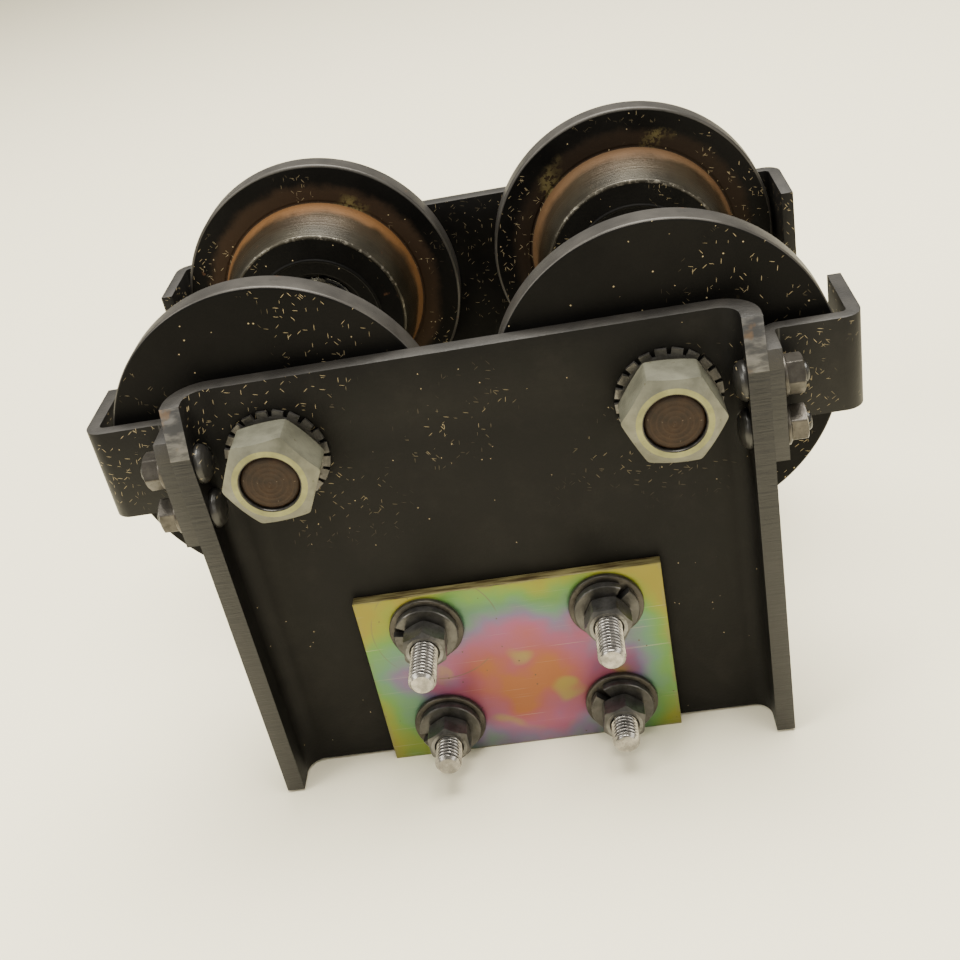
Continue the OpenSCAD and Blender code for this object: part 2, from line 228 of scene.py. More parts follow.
def black_paint(name, shade=0.005, dust=0.5, rough=0.42, shine=0.14, fibre_zone=(-1, 0)):
    """Thin satin black on rolled steel, with dust, fine fibres and rubbed patches. The fibres
    lie above the height where fibre_zone starts, fully so above its second height."""
    p = Paint(name)
    haze = p.cloud(22, 5, 0.6)
    fine = p.cloud(900, 3, 0.6)
    base = p.mix(p.step(haze, 0.35, 0.75), grey(shade * 0.75, 1.05), grey(shade * 1.35, 1.08))
    film = p.math("MULTIPLY", p.step(p.cloud(60, 6, 0.7), 0.45, 0.8), 0.4 * dust)
    base = p.mix(film, base, grey(0.024, 1.12))
    specks, chance = p.cells(700)
    tiny = p.math("MULTIPLY", p.math("LESS_THAN", specks, 0.13),
                  p.math("LESS_THAN", chance, 0.06 * dust))
    base = p.mix(tiny, base, STRAW)
    strands = p.math("MULTIPLY", p.fibres(FIBRE_LENGTH, FIBRE_WIDTH, 0.05 * dust),
                     p.step(p.cloud(24, 2), 0.44, 0.56))
    strands = p.math("MULTIPLY", strands, p.step(p.axes()[2], *fibre_zone))
    base = p.mix(strands, base, STRAW)
    p.bump(p.math("ADD", fine, p.math("MULTIPLY", haze, 0.6)), 0.16, 0.0004)
    return p.finish(base, p.math("ADD", rough, p.math("MULTIPLY", haze, 0.22)), specular=shine)


def cut_edge(name, shade=0.075, warm=1.14, stripes=0.0, metallic=0.25):
    """The edge of cut or sheared plate: thin worn paint, dust, and saw marks where asked."""
    p = Paint(name)
    patch = p.cloud(90, 5, 0.65)
    base = p.mix(p.step(patch, 0.35, 0.7), grey(shade * 0.7, warm), grey(shade * 1.35, warm))
    grain = p.cloud(1400, 2, 0.5)
    height = grain
    if stripes:
        marks = p.cloud(1.0, 3, 0.6, p.moved((60, 60, stripes)))
        base = p.mix(p.step(marks, 0.5, 0.68, 0.45), base, grey(shade * 0.45, 1.0))
        height = p.math("ADD", p.math("MULTIPLY", marks, 1.6), p.math("MULTIPLY", grain, 0.4))
    p.bump(height, 0.4, 0.0005)
    return p.finish(base, p.math("ADD", 0.42, p.math("MULTIPLY", patch, 0.2)), metallic)


def bare_cut(name):
    """The freshly cut corner faces: blue-grey steel with dark rolled-in streaks."""
    p = Paint(name)
    streak = p.cloud(1.0, 4, 0.6, p.moved((130, 130, 420), turn=(0.3, 0, 0)))
    base = p.mix(p.step(streak, 0.38, 0.68), (0.050, 0.050, 0.052, 1), (0.15, 0.145, 0.14, 1))
    base = p.mix(p.step(p.cloud(160, 3), 0.58, 0.72, 0.6), base, (0.16, 0.10, 0.055, 1))
    p.bump(streak, 0.3, 0.0004)
    return p.finish(base, 0.44, 0.45)


def turned_steel(name, shade=0.052, warm=1.08, oil=0.4):
    """Machined steel with fine turning lines around the Y axis, oil film and small stains."""
    p = Paint(name)
    lines = p.cloud(1.0, 3, 0.6, p.moved((18, 2600, 18)))
    patch = p.cloud(70, 5, 0.6)
    base = p.mix(p.step(patch, 0.3, 0.7), grey(shade * 0.72, warm), grey(shade * 1.25, warm))
    base = p.mix(p.step(p.cloud(240, 4, 0.7), 0.60, 0.72, oil), base, OIL)
    base = p.mix(p.step(p.cloud(130, 4, 0.7), 0.66, 0.78, 0.5), base, RUST)
    p.bump(lines, 0.22, 0.0003)
    return p.finish(base, p.math("ADD", 0.34, p.math("MULTIPLY", patch, 0.2)), 0.55)


def wheel_black(name, seed, rust):
    """A wheel's flat black faces, with a brown oily haze and rust beside the tread."""
    p = Paint(name)
    shifted = p.moved(shift=(seed, seed * 0.7, -seed))
    r = p.radius()
    _, depth, _ = p.axes()
    haze = p.cloud(28, 5, 0.6, shifted)
    base = p.mix(p.step(haze, 0.35, 0.7), grey(0.003, 1.05), grey(0.006, 1.07))
    inside = p.step(p.math("ABSOLUTE", depth), 0.0085, 0.0095)
    outward = p.math("SUBTRACT", 1.0, p.step(r, 0.0415, 0.0535))
    ragged = p.math("ADD", outward, p.math("MULTIPLY", p.cloud(95, 6, 0.7, shifted), 0.9))
    stain = p.math("MULTIPLY", inside, p.math("MULTIPLY", p.step(ragged, 0.72, 1.25),
                                              p.step(r, 0.0385, 0.0405)))
    base = p.mix(p.math("MULTIPLY", stain, 0.8 * rust), base, (0.045, 0.028, 0.017, 1))
    dirt = p.math("MULTIPLY", p.math("MULTIPLY", stain, rust),
                  p.step(p.cloud(34, 3, 0.5, shifted), 0.56, 0.68))
    speckle = p.step(p.cloud(520, 3, 0.7, shifted), 0.42, 0.55)
    base = p.mix(p.math("MULTIPLY", dirt, speckle), base, (0.20, 0.165, 0.065, 1))
    spots = p.math("MULTIPLY", inside, p.step(p.cloud(150, 3, 0.6, shifted), 0.69, 0.76))
    base = p.mix(p.math("MULTIPLY", spots, 0.7), base, BROWN_RUST)
    strands = p.math("MULTIPLY", p.fibres(FIBRE_LENGTH, FIBRE_WIDTH, 0.03),
                     p.step(p.cloud(26, 2, 0.5, shifted), 0.50, 0.60))
    base = p.mix(strands, base, STRAW)
    specks, chance = p.cells(650, shifted)
    tiny = p.math("MULTIPLY", p.math("LESS_THAN", specks, 0.17),
                  p.math("LESS_THAN", chance, 0.05))
    base = p.mix(tiny, base, STRAW)
    p.bump(p.math("ADD", p.cloud(700, 3), p.math("MULTIPLY", stain, 0.8)), 0.2, 0.0004)
    rough = p.math("ADD", 0.40, p.math("MULTIPLY", haze, 0.25))
    return p.finish(base, p.math("ADD", rough, p.math("MULTIPLY", stain, 0.25)), specular=0.08)


def wheel_tread(name, seed, rust):
    """The tapered running surface: rubbed bright steel with an orange rust band at its root."""
    p = Paint(name)
    shifted = p.moved(shift=(-seed, seed, seed * 0.4))
    _, depth, _ = p.axes()
    along = p.math("ABSOLUTE", depth)
    lines = p.cloud(1.0, 4, 0.6, p.moved((14, 2200, 14)))
    patch = p.cloud(60, 5, 0.6, shifted)
    base = p.mix(p.step(patch, 0.3, 0.7), (0.014, 0.0115, 0.007, 1), (0.036, 0.031, 0.020, 1))
    base = p.mix(p.step(lines, 0.45, 0.75, 0.3), base, (0.062, 0.056, 0.042, 1))
    wander = p.math("MULTIPLY", p.math("SUBTRACT", p.cloud(45, 4, 0.6, shifted), 0.5), 0.012)
    edge = p.math("ADD", along, wander)
    band = p.math("SUBTRACT", 1.0, p.step(edge, 0.0128, 0.0190))
    base = p.mix(p.math("MULTIPLY", band, 0.95 * rust), base, (0.17, 0.068, 0.010, 1))
    film = p.math("SUBTRACT", 1.0, p.step(edge, 0.017, 0.031))
    base = p.mix(p.math("MULTIPLY", film, 0.35), base, (0.075, 0.042, 0.018, 1))
    chips = p.math("MULTIPLY", p.step(along, 0.0312, 0.0322, 0.7),
                   p.step(p.cloud(420, 3, 0.7, shifted), 0.52, 0.62))
    base = p.mix(chips, base, (0.17, 0.155, 0.125, 1))
    spots = p.step(p.cloud(210, 4, 0.7, shifted), 0.64, 0.72, 0.6)
    base = p.mix(spots, base, BROWN_RUST)
    p.bump(p.math("ADD", lines, p.math("MULTIPLY", spots, 0.6)), 0.28, 0.0004)
    rough = p.math("ADD", 0.36, p.math("MULTIPLY", band, 0.28))
    return p.finish(base, rough, p.math("SUBTRACT", 0.6, p.math("MULTIPLY", band, 0.5)))


def zinc(name, shade=0.26, tint=(1.0, 1.0, 0.86)):
    """Chalky bright zinc plating, yellowed, with grey rub marks and greasy dirt."""
    p = Paint(name)
    bright = tuple(shade * 1.3 * t for t in tint) + (1.0,)
    dull = tuple(shade * 0.75 * t for t in tint) + (1.0,)
    base = p.mix(p.step(p.cloud(120, 5, 0.6), 0.3, 0.7), dull, bright)
    dirt = p.step(p.cloud(380, 5, 0.75), 0.60, 0.72, 0.75)
    base = p.mix(dirt, base, (0.06, 0.05, 0.022, 1))
    p.bump(p.cloud(900, 3, 0.6), 0.25, 0.0004)
    return p.finish(base, p.math("ADD", 0.38, p.math("MULTIPLY", dirt, 0.3)), 0.35)


def rusty_end(name):
    """The turned end of an axle under an even brown rust, with painted highlights: lighter rings
    along the turning marks, broad lighter patches and small glints.
    """
    p = Paint(name)
    patch = p.cloud(1.0, 2, 0.5, p.moved((8, 8, 8)))
    rings_per_metre = 3600.0
    wave = p.math("SINE", p.math("MULTIPLY", p.radius(), rings_per_metre))
    base = p.mix(p.step(p.cloud(170, 5, 0.65), 0.3, 0.7), (0.010, 0.0045, 0.0018, 1),
                 (0.027, 0.0125, 0.0045, 1))
    # Painted highlight: lighter rings along the turning marks, and broad lighter patches.
    base = p.mix(p.step(p.math("ADD", p.math("MULTIPLY", wave, 0.2), patch), 0.55, 0.8, 0.3),
                 base, (0.06, 0.032, 0.014, 1))
    # Painted glints: small lighter specks.
    shine = p.step(p.cloud(700, 3, 0.6), 0.66, 0.74, 0.7)
    base = p.mix(shine, base, (0.15, 0.115, 0.08, 1))
    p.bump(p.math("ADD", p.cloud(800, 4, 0.7), p.math("MULTIPLY", wave, 0.15)), 0.35, 0.0005)
    return p.finish(base, 0.55, 0.2, 0.3)


def hard_steel(name, shade=0.10, rough=0.32, dirt=0.5, warm=1.05):
    """Hardened or oiled steel: dark, fairly shiny, with dirty patches."""
    p = Paint(name)
    base = p.mix(p.step(p.cloud(170, 5, 0.6), 0.3, 0.72), grey(shade * 0.6, warm),
                 grey(shade * 1.4, warm))
    stain = p.step(p.cloud(420, 4, 0.7), 0.55, 0.68, dirt)
    base = p.mix(stain, base, (0.030, 0.026, 0.016, 1))
    p.bump(p.cloud(1100, 3, 0.6), 0.22, 0.0003)
    return p.finish(base, p.math("ADD", rough, p.math("MULTIPLY", stain, 0.25)), 0.7)


def rod_steel(name):
    """Bright rolled threads with darker patches. The thread roots take a darker second material,
    painted shade in the grooves.
    """
    p = Paint(name)
    base = p.mix(p.step(p.cloud(260, 4, 0.6), 0.35, 0.7), grey(0.18, 1.05), grey(0.38, 1.06))
    base = p.mix(p.step(p.cloud(600, 4, 0.7), 0.62, 0.72, 0.5), base, (0.08, 0.072, 0.050, 1))
    p.bump(p.cloud(1500, 3), 0.1, 0.0002)
    return p.finish(base, 0.26, 0.85)


def rainbow_zinc(name, box, ring_at):
    """Iridescent yellow passivation: green at the edges, pink in the middle, with scratches."""
    p = Paint(name)
    low, high = box
    x, _, z = p.axes()
    mid_x, mid_z = (low.x + high.x) / 2, (low.z + high.z) / 2
    half_x, half_z = (high.x - low.x) / 2, (high.z - low.z) / 2
    u = p.math("DIVIDE", p.math("SUBTRACT", x, mid_x), half_x)
    v = p.math("DIVIDE", p.math("SUBTRACT", z, mid_z), half_z)
    across = p.math("POWER", p.math("ABSOLUTE", u), 2.6)
    upward = p.math("POWER", p.math("ABSOLUTE", p.math("SUBTRACT", v, -0.12)), 2.4)
    film = p.math("SUBTRACT", 1.0, p.math("ADD", p.math("MULTIPLY", across, 0.62),
                                          p.math("MULTIPLY", upward, 0.33)))
    slow = p.math("SUBTRACT", p.cloud(32, 2, 0.5, p.moved(shift=(0.31, 0, 0.17))), 0.5)
    quick = p.math("SUBTRACT", p.cloud(85, 3, 0.5), 0.5)
    film = p.math("ADD", film, p.math("MULTIPLY", slow, 0.95))
    film = p.math("ADD", film, p.math("MULTIPLY", quick, 0.34))
    thinner = p.math("ADD", p.math("MULTIPLY", p.step(v, 0.05, 1.0), 0.20), 0.09)
    film = p.math("SUBTRACT", film, thinner)
    base = p.ramp(film, (0.0, (0.20, 0.17, 0.012, 1)), (0.14, (0.17, 0.20, 0.014, 1)),
                  (0.32, (0.095, 0.21, 0.045, 1)), (0.48, (0.085, 0.18, 0.115, 1)),
                  (0.62, (0.13, 0.10, 0.18, 1)), (0.75, (0.23, 0.062, 0.125, 1)),
                  (0.90, (0.25, 0.060, 0.065, 1)), (1.0, (0.26, 0.085, 0.025, 1)))
    blots = p.step(p.cloud(60, 1, 0.4, p.moved((1, 1, 1.35), (0.05, 0, 0.62))), 0.58, 0.70)
    base = p.mix(p.math("MULTIPLY", blots, p.step(film, 0.66, 0.8, 0.7)), base,
                 (0.22, 0.20, 0.035, 1))
    for turn, amount in ((0.42, 0.35), (-0.9, 0.18)):
        rubbed = p.cloud(1.0, 2, 0.5, p.moved((26, 1, 1500), turn=(0, turn, 0)))
        base = p.mix(p.step(rubbed, 0.66, 0.74, amount), base, (0.40, 0.35, 0.27, 1))
    gone = p.cloud(36, 2, 0.5, p.moved(shift=(0.9, 0, 0.4)))
    for at, radius in ring_at:
        around = p.radius(at.x, at.z)
        offset = p.math("ABSOLUTE", p.math("SUBTRACT", around, radius))
        line = p.math("SUBTRACT", 1.0, p.step(offset, 0.00012, 0.00030))
        line = p.math("MULTIPLY", line, p.step(gone, 0.40, 0.47, 0.75))
        base = p.mix(line, base, (0.10, 0.085, 0.05, 1))
    specks, chance = p.cells(420)
    tiny = p.math("MULTIPLY", p.math("LESS_THAN", specks, 0.13),
                  p.math("LESS_THAN", chance, 0.07))
    base = p.mix(tiny, base, (0.07, 0.05, 0.03, 1))
    border = p.math("MAXIMUM", p.math("ABSOLUTE", u), p.math("ABSOLUTE", v))
    grime = p.math("MULTIPLY", p.step(border, 0.965, 0.995), p.step(p.cloud(210, 4), 0.4, 0.6))
    base = p.mix(p.math("MULTIPLY", grime, 0.6), base, (0.16, 0.14, 0.05, 1))
    p.bump(p.cloud(1000, 3), 0.08, 0.0003)
    return p.finish(base, p.math("ADD", 0.30, p.math("MULTIPLY", p.cloud(40, 3), 0.12)), 0.35)


def pad_edge(name):
    """The pad's sheared edges: thin yellow zinc over brown, oily streaks along the cut."""
    p = Paint(name)
    streak = p.cloud(1.0, 4, 0.65, p.moved((70, 1100, 70)))
    base = p.mix(p.step(streak, 0.35, 0.65), (0.05, 0.032, 0.012, 1), (0.24, 0.21, 0.085, 1))
    p.bump(streak, 0.3, 0.0004)
    return p.finish(base, 0.42, 0.4)


def paper(name):
    """Cream paper, with painted shade: darker and greyer further from the camera, where the floor
    gets less light.
    """
    p = Paint(name)
    _, y, _ = p.axes()
    # Painted shade: the floor colour darkens with distance from the camera.
    back = p.step(y, 0.25, 2.2)
    base = p.mix(back, (0.95, 0.89, 0.68, 1), (0.84, 0.785, 0.60, 1))
    base = p.mix(p.step(p.cloud(5, 3), 0.3, 0.8, 0.05), base, (0.86, 0.80, 0.64, 1))
    p.bump(p.cloud(160, 3), 0.03, 0.002)
    return p.finish(base, 0.9, specular=0.1)


# ---- Mesh tools ----

def add_mesh(name, vertices, faces, materials, tags=None, angle=35):
    """A new shaded mesh object. tags holds each face's material number."""
    mesh = bpy.data.meshes.new(name)
    mesh.from_pydata([tuple(v) for v in vertices], [], faces)
    for material in materials:
        mesh.materials.append(material)
    if tags:
        mesh.polygons.foreach_set("material_index", tags)
    mesh.update()
    shade(mesh, angle)
    piece = bpy.data.objects.new(name, mesh)
    bpy.context.scene.collection.objects.link(piece)
    return piece


def shade(mesh, angle):
    mesh.polygons.foreach_set("use_smooth", [True] * len(mesh.polygons))
    mesh.set_sharp_from_angle(angle=math.radians(angle))


def rounded(profile, radius, steps=3):
    """A closed (r, y, tag) profile with each corner rounded by an arc of about that radius."""
    result = []
    count = len(profile)
    for i, (r, y, tag) in enumerate(profile):
        here = Vector((r, y))
        before = Vector(profile[i - 1][:2]) - here
        after = Vector(profile[(i + 1) % count][:2]) - here
        reach = min(radius, before.length * 0.45, after.length * 0.45)
        start, end = here + before.normalized() * reach, here + after.normalized() * reach
        for s in range(steps + 1):
            t = s / steps
            point = start * (1 - t) ** 2 + here * 2 * t * (1 - t) + end * t ** 2
            result.append((point.x, point.y, tag if s == steps else profile[i - 1][2]))
    return result


def lathe(profile, count, name, materials, angle=35):
    """Turns a closed profile of (radius, y, tag) points around the Y axis."""
    size = len(profile)
    vertices = []
    for i in range(count):
        a = 2 * math.pi * i / count
        vertices += [(r * math.cos(a), y, r * math.sin(a)) for r, y, _ in profile]
    faces, tags = [], []
    for i in range(count):
        j = (i + 1) % count
        for k in range(size):
            n = (k + 1) % size
            faces.append((i * size + k, i * size + n, j * size + n, j * size + k))
            tags.append(profile[k][2])
    piece = add_mesh(name, vertices, faces, materials, tags, angle)
    turn_outwards(piece.data)
    return piece


def turn_outwards(mesh):
    """Makes the faces' normals point outwards."""
    work = bmesh.new()
    work.from_mesh(mesh)
    bmesh.ops.recalc_face_normals(work, faces=work.faces)
    work.to_mesh(mesh)
    work.free()


def close_ends(mesh, reach=1e-6):
    """Welds points that lie on top of each other, such as a lathe's points on its axis."""
    work = bmesh.new()
    work.from_mesh(mesh)
    bmesh.ops.remove_doubles(work, verts=work.verts, dist=reach)
    bmesh.ops.recalc_face_normals(work, faces=work.faces)
    work.to_mesh(mesh)
    work.free()


def hex_nut(name, flats, height, bore, sink, materials, face=0.97, slope=28):
    """A hexagon nut along +Y from 0, with a corner on +X, and turned chamfers that start at face
    times its inner radius. The materials: sides, the ring round the bore, the bore."""
    rise = math.tan(math.radians(slope))
    rim = flats / 2 * face
    corner = flats / 2 / math.cos(math.pi / 6)
    blunt_from, blunting = 0.985, 0.0075
    count = 144
    vertices, faces, tags = [], [], []
    for i in range(count):
        angle = 2 * math.pi * i / count
        wedge = angle % (math.pi / 3) - math.pi / 6
        side = flats / 2 / math.cos(wedge)
        sharp = max(0.0, (side / corner - blunt_from) / (1 - blunt_from))
        side -= blunting * flats * sharp
        drop = (side - rim) * rise
        slant = [(rim + (side - rim) * t, drop * t) for t in (0.0, 0.33, 0.67, 1.0)]
        ring = [(bore, sink * 0.5), (bore + sink * 0.5, 0.0)] + slant
        ring += [(side, drop + (height - 2 * drop) * t) for t in (0.33, 0.67)]
        ring += [(r, height - y) for r, y in reversed(slant)]
        ring += [(bore + sink, height), (bore + sink * 0.35, height - sink * 0.4),
                 (bore, height - sink)]
        vertices += [(r * math.cos(angle), y, r * math.sin(angle)) for r, y in ring]
    bands = [0, 0, 0, 0, 0, 0, 0, 0, 0, 0, 0, 1, 2, 2, 2]
    rows = len(bands)
    for i in range(count):
        j = (i + 1) % count
        for k in range(rows):
            n = (k + 1) % rows
            faces.append((i * rows + k, i * rows + n, j * rows + n, j * rows + k))
            tags.append(bands[k])
    piece = add_mesh(name, vertices, faces, materials, tags, 20)
    turn_outwards(piece.data)
    return piece


def threaded_bar(name, radius, start, end, pitch, depth, tip, materials, smooth):
    """A bar along Y with a helical thread, chamfered at both ends and plain over smooth.
    The materials: crests and ends, and the thread roots, which are painted darker as shade in the
    grooves."""
    count, per_turn = 40, 8
    crest_share, flank_share = 0.14, 0.70
    steps = int(round((end - start) / pitch * per_turn))
    vertices, faces = [], []
    rows = steps + 1
    for k in range(rows):
        y = start + (end - start) * k / steps
        near_end = min(y - start, end - y)
        cap = radius - tip + near_end if near_end < tip else radius
        for i in range(count):
            phase = (y / pitch - i / count) % 1.0
            groove = depth * max(0.0, min(1.0, (abs(2 * phase - 1) - crest_share) / flank_share))
            if smooth[0] < y < smooth[1]:
                groove = depth
            r = min(cap, radius - groove)
            a = 2 * math.pi * i / count
            vertices.append((r * math.cos(a), y, r * math.sin(a)))
    tags = []
    for k in range(rows - 1):
        for i in range(count):
            j = (i + 1) % count
            corners = (k * count + i, k * count + j, (k + 1) * count + j, (k + 1) * count + i)
            mean = sum(math.hypot(vertices[c][0], vertices[c][2]) for c in corners) / 4
            near_end = min(vertices[corners[0]][1] - start, end - vertices[corners[0]][1])
            # The deep groove faces take the darker root material: painted shade in the thread
            # roots.
            tags.append(1 if mean < radius - 0.55 * depth and near_end > tip else 0)
            faces.append(corners)
    for ring_start in (0, (rows - 1) * count):
        y = vertices[ring_start][1]
        middle = len(vertices)
        vertices.append((0, y, 0))
        for i in range(count):
            faces.append((ring_start + i, ring_start + (i + 1) % count, middle))
            tags.append(0)
    piece = add_mesh(name, vertices, faces, materials, tags, 50)
    turn_outwards(piece.data)
    return piece


def split_ring(name, outer, inner, thick, gap, rise, materials):
    """A split lock washer along +Y: one turn of square wire with its two ends a little apart."""
    count = 72
    edge = thick * 0.10
    section = [(inner + edge, 0), (outer - edge, 0), (outer, edge), (outer, thick - edge),
               (outer - edge, thick), (inner + edge, thick), (inner, thick - edge), (inner, edge)]
    half_gap = gap / 2 / ((outer + inner) / 2)
    vertices, faces = [], []
    for i in range(count + 1):
        t = i / count
        a = half_gap + (2 * math.pi - 2 * half_gap) * t
        lean = rise * (t - 0.5)
        for r, y in section:
            squeezed = y * (1 - rise / thick) + rise / 2 + lean
            vertices.append((r * math.cos(a), squeezed, r * math.sin(a)))
    size = len(section)
    for i in range(count):
        for k in range(size):
            n = (k + 1) % size
            faces.append((i * size + k, i * size + n, (i + 1) * size + n, (i + 1) * size + k))
    faces.append(tuple(range(size)))
    faces.append(tuple(count * size + k for k in range(size)))
    piece = add_mesh(name, vertices, faces, materials)
    turn_outwards(piece.data)
    return piece


def tooth_ring(name, outer, body, inner, thick, teeth, materials):
    """A lock washer with outside teeth, each twisted so that its edges bite."""
    vertices, faces = [], []
    plate = thick * 0.62
    mid_twist, tip_twist = 0.16, 0.20

    def block(points_low, points_high):
        base = len(vertices)
        vertices.extend(points_low + points_high)
        faces.append((base, base + 3, base + 2, base + 1))
        faces.append((base + 4, base + 5, base + 6, base + 7))
        for k in range(4):
            n = (k + 1) % 4
            faces.append((base + k, base + n, base + 4 + n, base + 4 + k))

    count = 84
    for i in range(count):
        a = 2 * math.pi * i / count
        for r, y in ((inner, 0.0), (body, 0.0), (body, plate), (inner, plate)):
            vertices.append((r * math.cos(a), y + (thick - plate) / 2, r * math.sin(a)))
    for i in range(count):
        j = (i + 1) % count
        for k in range(4):
            n = (k + 1) % 4
            faces.append((i * 4 + k, i * 4 + n, j * 4 + n, j * 4 + k))
    for i in range(teeth):
        a = 2 * math.pi * (i + 0.5) / teeth
        along = Vector((math.cos(a), 0, math.sin(a)))
        side = Vector((-math.sin(a), 0, math.cos(a)))
        width = math.pi * (body + outer) / teeth * 0.36

        def corners(r, twist):
            mid = along * r + Vector((0, thick / 2, 0))
            across = side * math.cos(twist) + Vector((0, math.sin(twist), 0))
            normal = Vector((0, math.cos(twist), 0)) - side * math.sin(twist)
            w, h = across * width, normal * plate / 2
            return [mid - w - h, mid + w - h, mid + w + h, mid - w + h]

        half_way = (body + outer) / 2
        block(corners(body - 0.4 * MM, 0.0), corners(half_way, mid_twist))
        block(corners(half_way, mid_twist), corners(outer, tip_twist))
    piece = add_mesh(name, vertices, faces, materials)
    turn_outwards(piece.data)
    return piece


def flip_y(piece, shift=0.0):
    """Turns a piece end for end along Y, and then moves it by shift."""
    piece.data.transform(Matrix.Translation((0, shift, 0)) @ Matrix.Rotation(math.pi, 4, "X"))
    return piece


def set_on(piece, end, place, turn=0.0):
    """Moves a piece from its side frame to the model: place is its origin, turned about Y.
    A piece of the rear half is mirrored in Y."""
    mesh = piece.data
    mesh.transform(Matrix.Rotation(turn, 4, "Y"))
    if ENDS[end] > 0:
        mesh.transform(Matrix.Diagonal((1, -1, 1, 1)))
        mesh.flip_normals()
    piece.location = place
    return piece


def joined(pieces, name):
    """One object from several that share their materials, keeping each one's place."""
    target = bmesh.new()
    materials = list(pieces[0].data.materials)
    for piece in pieces:
        piece.data.transform(Matrix.Translation(piece.location))
        target.from_mesh(piece.data)
    mesh = bpy.data.meshes.new(name)
    target.to_mesh(mesh)
    target.free()
    for material in materials:
        mesh.materials.append(material)
    for piece in pieces:
        bpy.data.objects.remove(piece)
    whole = bpy.data.objects.new(name, mesh)
    bpy.context.scene.collection.objects.link(whole)
    return whole


def eased_copy(node, width, materials, tag_of, segments=2):
    """A copy of a CAD node with its sharp edges rounded. tag_of(normal, middle) picks the
    material of each flat face, and edges take the first one."""
    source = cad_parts[node].data
    work = bmesh.new()
    work.from_mesh(source)
    bmesh.ops.remove_doubles(work, verts=work.verts, dist=1e-6)
    bmesh.ops.dissolve_limit(work, angle_limit=math.radians(0.4), verts=work.verts,
                             edges=work.edges)
    for face in work.faces:
        face.material_index = tag_of(face.normal, face.calc_center_median())
    sharp = [e for e in work.edges if e.is_manifold and e.calc_face_angle(0) > math.radians(32)]
    bmesh.ops.bevel(work, geom=sharp, offset=width, segments=segments, profile=0.5,
                    affect="EDGES", clamp_overlap=True, material=-1)
    bmesh.ops.triangulate(work, faces=[f for f in work.faces if len(f.verts) > 4])
    mesh = bpy.data.meshes.new(node + "_eased")
    work.to_mesh(mesh)
    work.free()
    for material in materials:
        mesh.materials.append(material)
    shade(mesh, 32)
    piece = bpy.data.objects.new(node + "_eased", mesh)
    bpy.context.scene.collection.objects.link(piece)
    return piece


def stand_for(piece, node, body="frame"):
    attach(piece, body)
    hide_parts(node)
    return piece


# ---- Camera, light and floor ----

def camera():
    """Looks down from the front at the photograph's angle, from slightly to the right, tilted."""
    yaw, pitch, roll = 0.1249, -0.5367, -0.2110
    forward = Vector((-math.sin(yaw) * math.cos(pitch), math.cos(yaw) * math.cos(pitch),
                      math.sin(pitch)))
    level = Vector((math.cos(yaw), math.sin(yaw), 0))
    upright = level.cross(forward)
    right = level * math.cos(roll) + upright * math.sin(roll)
    up = upright * math.cos(roll) - level * math.sin(roll)
    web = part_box("front_pad_plate")[1].y
    axle_z = centre("front_left_axle").z
    aside, before, above = 0.04411, 0.35584, 0.19306
    data = bpy.data.cameras.new("camera")
    data.lens = 47.73
    data.sensor_width = 36.0
    data.clip_start = 0.01
    view = bpy.data.objects.new("camera", data)
    turn = Matrix((right, up, -forward)).transposed()
    place = Matrix.Translation((aside, web - before, axle_z + above))
    view.matrix_world = place @ turn.to_4x4()
    bpy.context.scene.collection.objects.link(view)
    bpy.context.scene.camera = view


def area_light(name, place, aim, size, watts, colour):
    data = bpy.data.lights.new(name, "AREA")
    data.shape = "DISK"
    data.size = size
    data.energy = watts
    data.color = colour
    lamp = bpy.data.objects.new(name, data)
    lamp.location = place
    lamp.rotation_euler = (Vector(aim) - Vector(place)).to_track_quat("-Z", "Y").to_euler()
    bpy.context.scene.collection.objects.link(lamp)


def studio():
    warm_white = (1.0, 0.965, 0.88)
    world = bpy.data.worlds.new("studio")
    world.use_nodes = True
    background = world.node_tree.nodes["Background"]
    background.inputs["Color"].default_value = warm_white + (1.0,)
    background.inputs["Strength"].default_value = 0.40
    bpy.context.scene.world = world
    area_light("overhead", (0.15, 0.35, 2.3), (0, 0.1, 0.08), 2.0, 175, warm_white)
    area_light("window", (-1.7, -0.9, 1.5), (0, 0, 0.08), 1.3, 38, (1.0, 0.97, 0.89))
    area_light("fill", (1.2, -1.0, 0.8), (0, 0, 0.08), 0.9, 8, (1.0, 0.96, 0.87))
    half = 4.0
    corners = [(-half, -half, 0), (half, -half, 0), (half, half, 0), (-half, half, 0)]
    floor = add_mesh("paper_floor", corners, [(0, 1, 2, 3)], [paper("paper")])


# ---- The trolley's pieces ----

def side_plates():
    materials = [black_paint("plate_black", fibre_zone=(0.09, 0.13)),
                 cut_edge("plate_top_edge", 0.012, metallic=0.05),
                 cut_edge("plate_saw_edge", 0.012, 1.08, stripes=900, metallic=0.1),
                 bare_cut("plate_corner_cut")]
    for end, sign in ENDS.items():
        node = end + "_side_plate"
        low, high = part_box(node)

        def tag(normal, middle):
            if abs(normal.z) > 0.9:
                return 1
            if 0.2 < abs(normal.z) < 0.9 and abs(normal.x) < 0.1:
                return 3
            if normal.y * sign > 0.9 and abs(middle.x) > high.x - 0.008:
                return 2
            return 0

        stand_for(eased_copy(node, 0.5 * MM, materials, tag), node)


def guards():
    materials = [black_paint("guard_black", 0.007, 0.8, 0.38, 0.18),
                 cut_edge("guard_edge", 0.018, 1.1, metallic=0.05),
                 cut_edge("guard_saw_edge", 0.014, 1.06, stripes=800, metallic=0.1)]
    for end, side in CORNERS:
        node = f"{end}_{side}_guard"

        def tag(normal, middle):
            if abs(normal.z) > 0.3:
                return 1
            return 2 if normal.y * ENDS[end] > 0.9 and abs(middle.x) < 0.099 else 0

        stand_for(eased_copy(node, 0.45 * MM, materials, tag), node)


